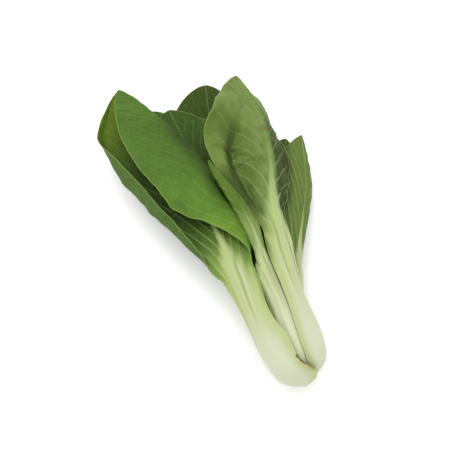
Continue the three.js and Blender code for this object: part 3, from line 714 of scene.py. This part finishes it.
def leaf_masks(tree, read, pattern, blotch, edge_reach):
    """How strongly each tint shows, from 0 to 1, at every place of a leaf."""
    ranges = {      # each: what it reads, from, to, and how strongly the tint shows at either
        "vein": (pattern["off vein"], 0.3, 1, 1, 0),
        "patch": (pattern["patches"], 0.35, 0.75, 0, 0.45),
        "blotch": (pattern["blotches"], 0.5, 0.72, 0, blotch),
        "mottle": (pattern["mottle"], 0.5, 0.8, 0, 0.16),
        "net": (pattern["net"], 0.02, 0.12, 0.08, 0),
        "blade edge": (read["from_margin"], 0.2, 0.8, 0.55, 0),
        # the crease mask is painted shade in the blade's folds, under a flap and in its wrinkles
        "crease_shade": (read["crease_shade"], 0, 1, 0, 0.76),
        # painted shade: the stalks' inner faces, pale in themselves, darkened where they lie in the shadow
        # between stalks
        "inside": (read["inner_face"], 0, 1, 0, 0.55),
        "bulb": (read["along"], 28, 75, 0.92, 0),
        "petiole": (read["along"], 75, 125, 0, 1),
        "yellow fibre": (pattern["fibres"], 0.5, 0.72, 0, 0.5),
        "white fibre": (pattern["fibres"], 0.5, 0.3, 0, 0.5),
        "grey thread": (pattern["threads"], 0.52, 0.75, 0, 0.5),
        "groove": (read["groove"], 0, 1, 0, 0.58),
        "stalk edge": (read["from_margin"], 0.5, edge_reach, 0.6, 0),
        "tan": (read["tan_scar"], 0, 1, 0, 0.45),
        "line": (read["line_scar"], 0, 1, 0, 0.6),
        "dark": (read["dark_scar"], 0.2, 1, 0, 0.9),
        "stain": (read["faint_stain"], 0, 1, 0, 0.4),
    }
    mask = {}
    for label, limits in ranges.items():
        mask[label] = add(tree, "ShaderNodeMapRange", dict(enumerate(limits)),
                          interpolation_type="SMOOTHSTEP")
    mask["veins"] = add(tree, "ShaderNodeMath", {0: mask["vein"], 1: read["vein_show"]},
                        operation="MULTIPLY")
    return mask


def leaf_material(name, back, front, shade, zones=(), blotch=0.2, bulb="#b3b69f", edge_reach=7):
    """Living leaf under a thin wax bloom: a dull green blade with paler veins, on a crisp pale stalk.

    The blade's two faces are the colours back and front, and shade is that of its patches and, as
    strongly as blotch says, its blotches. Bulb is the colour of the stalk's low end, and the stalk's
    edges are greener over edge_reach millimetres. A zone (attribute, start, end, back or front,
    colour) tints one face of the blade where the attribute runs from start to end and beyond.
    """
    material, tree, surface_input = new_material(name)
    labels = ("along", "across", "vein", "vein_sharpness", "vein_show", "pale", "from_margin",
              "crease_shade", "bulge", "groove", "inner_face", *SCARS)
    read = {label: add(tree, "ShaderNodeAttribute", out="Fac", attribute_name=label) for label in labels}
    pattern = leaf_patterns(tree, read)
    mask = leaf_masks(tree, read, pattern, blotch, edge_reach)

    outer_face = add(tree, "ShaderNodeMath", {0: 1, 1: read["inner_face"]}, operation="SUBTRACT")
    faces = {"back": outer_face, "front": read["inner_face"]}
    tints = []
    for label, start, end, face, code in zones:
        beyond = add(tree, "ShaderNodeMapRange", {0: read[label], 1: start, 2: end},
                     interpolation_type="SMOOTHSTEP")
        amount = add(tree, "ShaderNodeMath", {0: beyond, 1: faces[face]}, operation="MULTIPLY")
        tints.append((amount, code))

    # The near black-green #1d2a09 that the crease mask mixes in is painted shade.
    blade = colour(back)
    for amount, code in (
            (read["inner_face"], front), *tints, (mask["patch"], shade), (mask["blotch"], shade),
            (mask["mottle"], "#6f8440"), (mask["net"], "#7d8f53"), (mask["veins"], "#8e9d64"),
            (mask["crease_shade"], "#1d2a09"), (mask["blade edge"], "#809352")):
        blade = add(tree, "ShaderNodeMix", {0: amount, 6: blade, 7: colour(code)}, out=2, data_type="RGBA")
    # The inside mask darkens the stalk's inner face with painted shade.
    stalk = colour("#a3a97d")
    for amount, code in (
            (mask["petiole"], "#94a26c"), (mask["yellow fibre"], "#97a55e"),
            (mask["white fibre"], "#b3b6a6"), (mask["grey thread"], "#919481"),
            (mask["inside"], "#6d7a44"), (mask["groove"], "#758a3a"), (mask["bulb"], bulb),
            (mask["stalk edge"], "#8f9d52")):
        stalk = add(tree, "ShaderNodeMix", {0: amount, 6: stalk, 7: colour(code)}, out=2, data_type="RGBA")
    whole = blade
    for amount, top in (
            (read["pale"], stalk), (mask["tan"], colour("#a68f5e")), (mask["line"], colour("#846b35")),
            (mask["dark"], colour("#412e14")), (mask["stain"], colour("#5d4c36"))):
        whole = add(tree, "ShaderNodeMix", {0: amount, 6: whole, 7: top}, out=2, data_type="RGBA")

    # The bloom spreads the shine, more on the blade than on the stalk, and a little light comes back
    # from a millimetre or so inside.
    skin = add(tree, "ShaderNodeMix", {0: read["pale"], 2: pattern["cells"], 3: pattern["threads"]})
    bump = add(tree, "ShaderNodeBump", {"Height": skin, "Strength": 0.25, "Distance": 0.25 * MM})
    rough = add(tree, "ShaderNodeMix", {0: read["pale"], 2: 0.62, 3: 0.42})
    surface = add(tree, "ShaderNodeBsdfPrincipled", {
        "Base Color": whole, "Roughness": rough, "IOR": 1.42, "Specular IOR Level": 0.16, "Normal": bump,
        "Subsurface Weight": 0.15, "Subsurface Radius": (0.8, 1.0, 0.3), "Subsurface Scale": 1.5 * MM})
    tree.links.new(surface, surface_input)
    return material


def stem_material():
    """Cut stem of a brassica: a smooth pale crown, and a dry tan cut face with patches and fibre ends.

    The patches are 2.5 millimetres, and the fibre ends 1.1 apart, coarser than real ones to show.
    """
    material, tree, surface_input = new_material("cut brassica stem, pale crown and dried tan face")
    coords = add(tree, "ShaderNodeTexCoord", out="Object")
    cork = add(tree, "ShaderNodeTexNoise", {"Vector": coords, "Scale": 1 / (2.5 * MM), "Detail": 5})
    fibre_ends = add(tree, "ShaderNodeTexVoronoi", {"Vector": coords, "Scale": 1 / (1.1 * MM)},
                     out="Distance")
    height = add(tree, "ShaderNodeSeparateXYZ", {0: coords}, out=1)
    cut_height = placed(np.array([0.0, CUT_FACE_Y, 0.0]))[1] * MM
    ranges = {
        "face": (height, cut_height + 0.3 * MM, cut_height + 0.8 * MM, 1, 0),
        "cork": (cork, 0.42, 0.7, 0, 0.8),
        "fibre end": (fibre_ends, 0.1, 0.35, 0.5, 0),
    }
    mask = {}
    for label, limits in ranges.items():
        mask[label] = add(tree, "ShaderNodeMapRange", dict(enumerate(limits)))
    face = colour("#c9c09d")
    for amount, code in ((mask["cork"], "#a28a58"), (mask["fibre end"], "#8b7547")):
        face = add(tree, "ShaderNodeMix", {0: amount, 6: face, 7: colour(code)}, out=2, data_type="RGBA")
    whole = add(tree, "ShaderNodeMix", {0: mask["face"], 6: colour("#afb19a"), 7: face}, out=2,
                data_type="RGBA")
    bump = add(tree, "ShaderNodeBump", {"Height": cork, "Strength": 0.3, "Distance": 0.3 * MM})
    surface = add(tree, "ShaderNodeBsdfPrincipled", {
        "Base Color": whole, "Roughness": 0.6, "Normal": bump, "Subsurface Weight": 0.1,
        "Subsurface Radius": (1, 0.8, 0.4), "Subsurface Scale": 1 * MM})
    tree.links.new(surface, surface_input)
    return material


def paper_material():
    """Matt white background paper: no pattern, only soft shadows."""
    material, tree, surface_input = new_material("matt white background paper")
    surface = add(tree, "ShaderNodeBsdfPrincipled", {"Base Color": colour("#f8f8f8"), "Roughness": 0.9})
    tree.links.new(surface, surface_input)
    return material


# ---- the stage ----

def add_floor():
    """A wide flat sheet of paper that the head lies on, 4 metres across."""
    reach = 2000
    points = np.array([(-reach, -reach, 0), (reach, -reach, 0), (reach, reach, 0), (-reach, reach, 0)])
    floor = new_piece("floor", points, np.array([[0, 1, 2, 3]]))
    floor.data.materials.append(paper_material())


def add_light(name, place, size, power):
    """A square area light that looks at the middle of the head, with place and size in metres."""
    light = bpy.data.lights.new(name, "AREA")
    light.size = size
    light.energy = power
    lamp = bpy.data.objects.new(name, light)
    bpy.context.scene.collection.objects.link(lamp)
    lamp.location = place
    lamp.rotation_euler = (-Vector(place)).to_track_quat("-Z", "Y").to_euler()


def add_camera(azimuth=-24.0, elevation=68.0, aim=(-5.18, 117.58, 24.0), distance=814.4, lens=85.0):
    """A camera that looks down on the head from azimuth and elevation, at a point of its own frame."""
    camera = bpy.data.cameras.new("camera")
    camera.lens = lens
    holder = bpy.data.objects.new("camera", camera)
    bpy.context.scene.collection.objects.link(holder)
    a, e = math.radians(azimuth), math.radians(elevation)
    back = Vector((math.sin(a) * math.cos(e), -math.cos(a) * math.cos(e), math.sin(e)))
    right = Vector((math.cos(a), math.sin(a), 0))
    up = back.cross(right)
    turned = Matrix((right, up, back)).transposed().to_4x4()
    target = Vector(placed(np.array(aim))) * MM
    holder.matrix_world = Matrix.Translation(target + back * distance * MM) @ turned
    bpy.context.scene.camera = holder


def light_studio():
    """A large soft key from above the tips, and an even white surround."""
    add_light("key", place=(-0.2, 0.55, 1.6), size=1.5, power=14)
    world = bpy.data.worlds.new("white surround")
    world.use_nodes = True
    background = world.node_tree.nodes["Background"]
    background.inputs["Color"].default_value = colour("#ffffff")
    background.inputs["Strength"].default_value = 1.3
    bpy.context.scene.world = world
    bpy.context.scene.view_settings.view_transform = "Standard"


# ---- the leaves' colours: the back's, the front's, the shade's, then the zones ----
FINISHES = {
    # Leaf 1's back colour and its first three zones are painted shade: darkest in the middle of the blade,
    # where the fold covers the back, and lighter towards the tip and towards the stalk.
    "leaf_1_top_left": leaf_material(
        "bok choy leaf, green skin with painted shade under the fold", "#223808", "#415f1c", "#2d4709",
        [("along", 190, 255, "back", "#49600a"), ("along", 155, 118, "back", "#36530d"),
         ("along", 134, 102, "back", "#6f8641"), ("along", 205, 130, "front", "#4e7121"),
         ("along", 148, 118, "front", "#6a8a31"), ("across", -4, -12, "front", "#425927")],
        edge_reach=12),
    # Leaf 2 is a dark green leaf, darkened further with painted shade, as it lies under the others.
    "leaf_2_underside": leaf_material("bok choy leaf, dark skin with painted shade", "#2e3d07", "#2d4107", "#263606"),
    "leaf_3_top_right": leaf_material(
        "bok choy leaf, grey-green underside", "#607235", "#334a14", "#46581f",
        # The bulge zone is painted shade: darker than the lobe, which faces the light more.
        [("bulge", 0, 1, "back", "#54682d"), ("across", -14, -4, "back", "#667a40"),
         # The near-black zone just right of the midrib is painted shade, where the blade turns away from
         # the light.
         ("across", 1.5, 5, "back", "#212d08"), ("along", 188, 222, "back", "#617437")],
        blotch=0.5),
    "leaf_4_left": leaf_material("bok choy leaf, dull outer skin", "#415418", "#2d470c", "#334911"),
    "leaf_5_right": leaf_material(
        "bok choy leaf, olive underside", "#54652b", "#273c0f", "#475b23",
        [("across", -7, -14, "back", "#3d4c1e")]),
    "leaf_6_middle": leaf_material(
        "bok choy leaf, young yellow-green skin", "#465e16", "#3a5718", "#405716",
        # Leaf 6's lighter zone by the petiole and its paler bulb are painted light: its stalk lies deeper
        # than those beside it and gets less light.
        [("along", 128, 102, "back", "#73864a")],
        bulb="#bfc3a4", edge_reach=4.5),
}
# The lower leaves are dark green, darkened further with painted shade, as they lie hidden under the
# others.
LOWER_FINISH = leaf_material("bok choy leaf, dark lower skin with painted shade", "#293c0d", "#2d470c", "#253709")

# ---- the head, its stage and its light ----
for number, name in enumerate(LEAVES):
    piece = build_leaf(name, 100 * number)
    piece.data.materials.append(FINISHES.get(name, LOWER_FINISH))
stem = build_stem()
stem.data.materials.append(stem_material())
add_floor()
add_camera()
light_studio()
